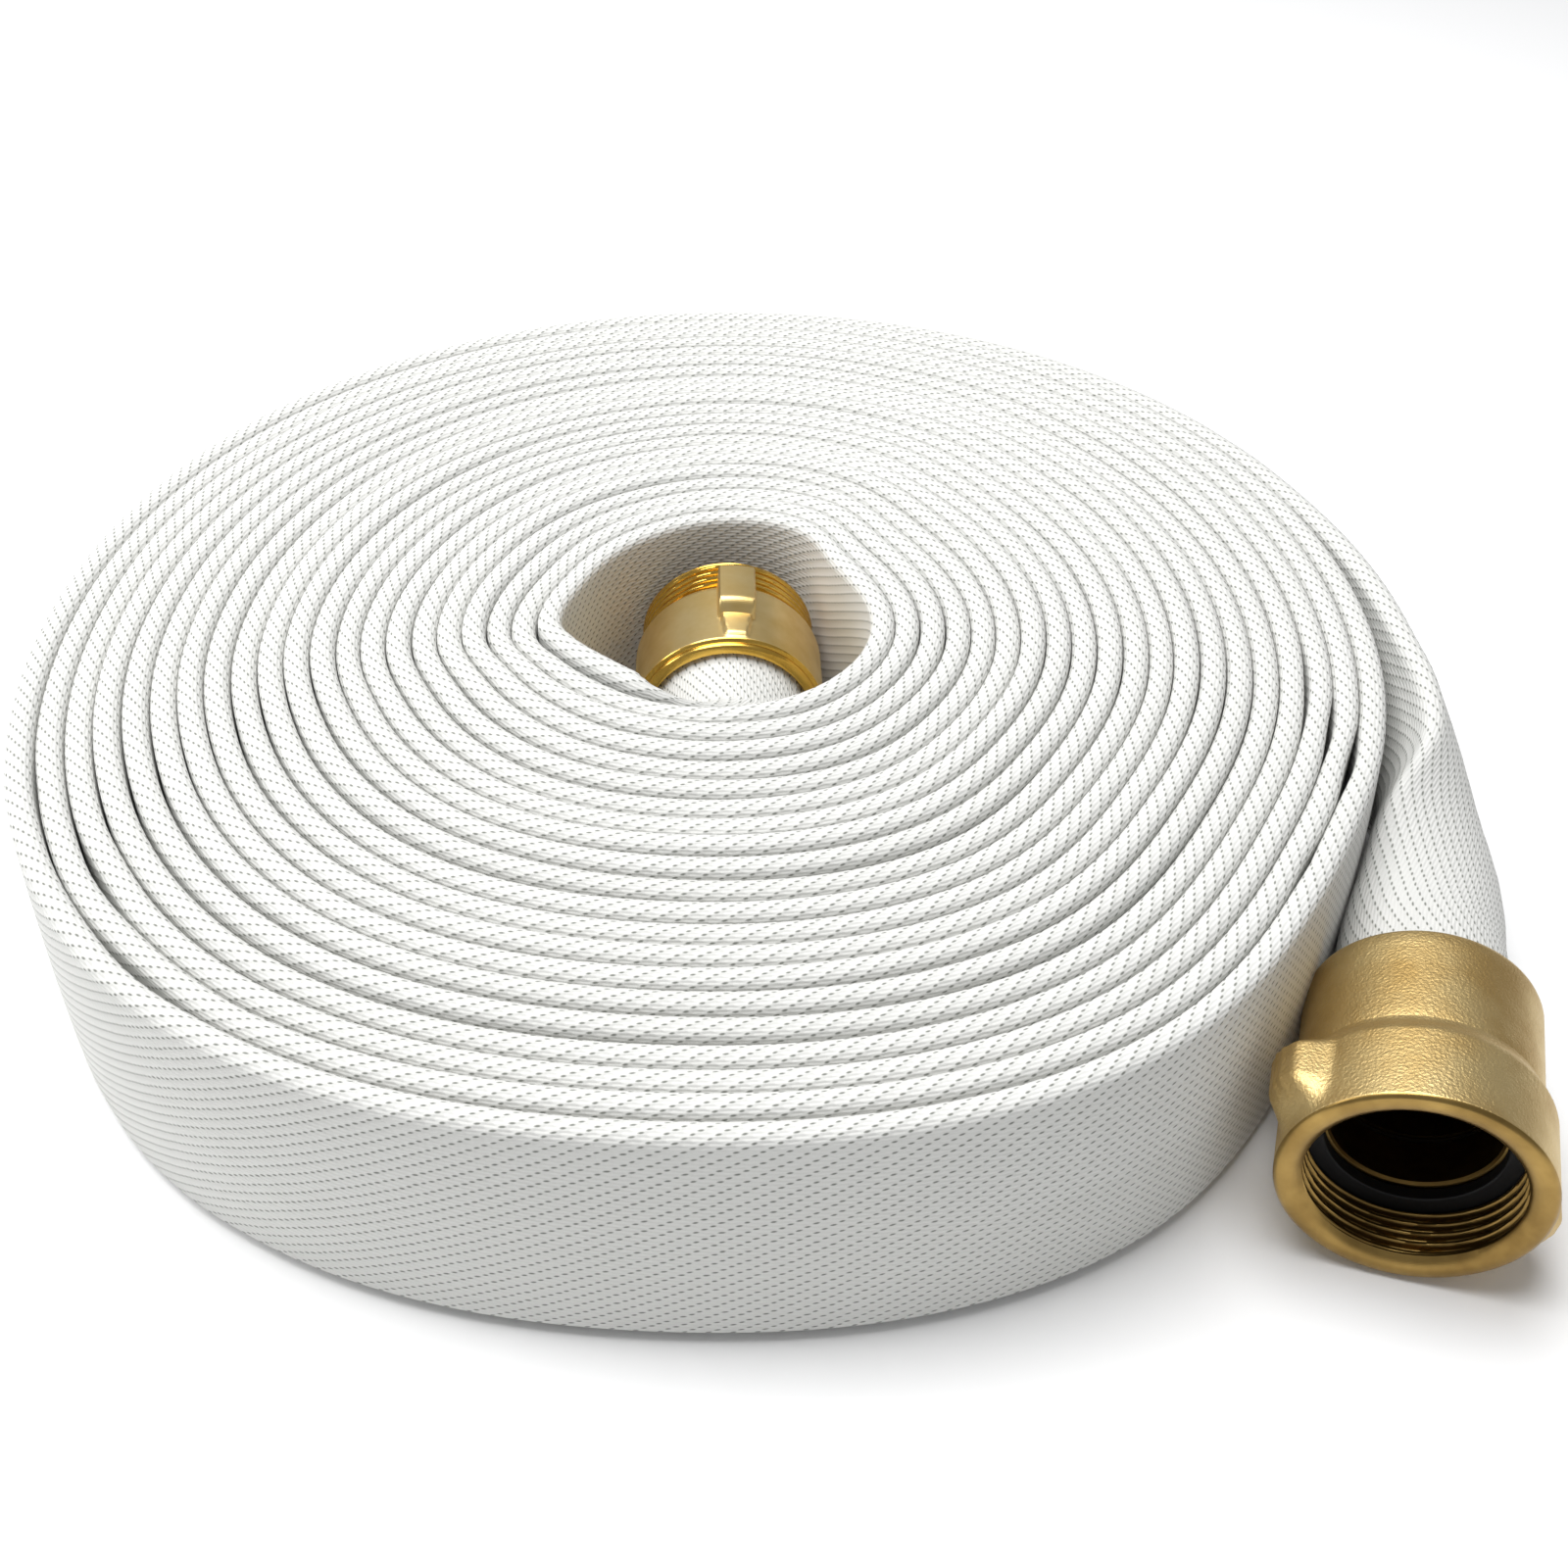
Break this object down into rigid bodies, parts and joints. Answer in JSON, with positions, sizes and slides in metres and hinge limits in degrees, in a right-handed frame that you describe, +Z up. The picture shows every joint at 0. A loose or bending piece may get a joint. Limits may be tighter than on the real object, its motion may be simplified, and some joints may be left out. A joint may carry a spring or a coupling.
{
  "type": "rolled fire hose",
  "caption": "Lay-flat woven fire hose wound on edge into a flat spiral roll, with a threaded brass coupling on each end: a swivelling female outside, a male in the eye.",
  "frame": {"origin": "centre of the whole object's footprint, on the surface that the roll lies on", "axes": "+Z up along the roll's winding axis; -Y towards the side where the female coupling's mouth points; +X towards the side on which the outer end leaves the roll"},
  "size_m": [0.3811, 0.3723, 0.066],
  "materials": {
    "jacket": "near-white woven polyester jacket, matte",
    "cast_brass": "sand-cast brass, fine grain, satin",
    "turned_brass": "turned brass, smooth",
    "rubber": "black rubber, matte",
    "ball_steel": "ground bearing balls"
  },
  "bodies": {
    "hose": {"hose_roll": "jacket", "outer_tail": "jacket", "inner_tail": "jacket", "female_tailpiece": "cast_brass", "male_coupling": "cast_brass", "female_expansion_ring": "turned_brass", "male_expansion_ring": "turned_brass", "female_tail_gasket": "rubber", "male_tail_gasket": "rubber", "outer_lining": "rubber", "inner_lining": "rubber"},
    "swivel": {"swivel": "cast_brass", "race_plug": "turned_brass", "thread_gasket": "rubber"},
    "ball_row": {"race_ball_01": "ball_steel", "race_ball_02": "ball_steel", "race_ball_03": "ball_steel", "race_ball_04": "ball_steel", "race_ball_05": "ball_steel", "race_ball_06": "ball_steel", "race_ball_07": "ball_steel", "race_ball_08": "ball_steel", "race_ball_09": "ball_steel", "race_ball_10": "ball_steel", "race_ball_11": "ball_steel", "race_ball_12": "ball_steel", "race_ball_13": "ball_steel", "race_ball_14": "ball_steel", "race_ball_15": "ball_steel", "race_ball_16": "ball_steel", "race_ball_17": "ball_steel", "race_ball_18": "ball_steel", "race_ball_19": "ball_steel", "race_ball_20": "ball_steel", "race_ball_21": "ball_steel", "race_ball_22": "ball_steel", "race_ball_23": "ball_steel", "race_ball_24": "ball_steel", "race_ball_25": "ball_steel", "race_ball_26": "ball_steel", "race_ball_27": "ball_steel", "race_ball_28": "ball_steel", "race_ball_29": "ball_steel", "race_ball_30": "ball_steel"}
  },
  "joints": [
    {"name": "swivel_spin", "type": "hinge", "parent": "hose", "child": "swivel", "pos_m": [0.1493, -0.1701, 0.03], "axis": [-0.2756, -0.9613, 0], "continuous": true},
    {"name": "ball_row_spin", "type": "hinge", "parent": "hose", "child": "ball_row", "pos_m": [0.1493, -0.1701, 0.03], "axis": [-0.2756, -0.9613, 0], "continuous": true}
  ],
  "couplings": [
    {"joint": "ball_row_spin", "follows": "swivel_spin", "ratio": 0.547}
  ]
}
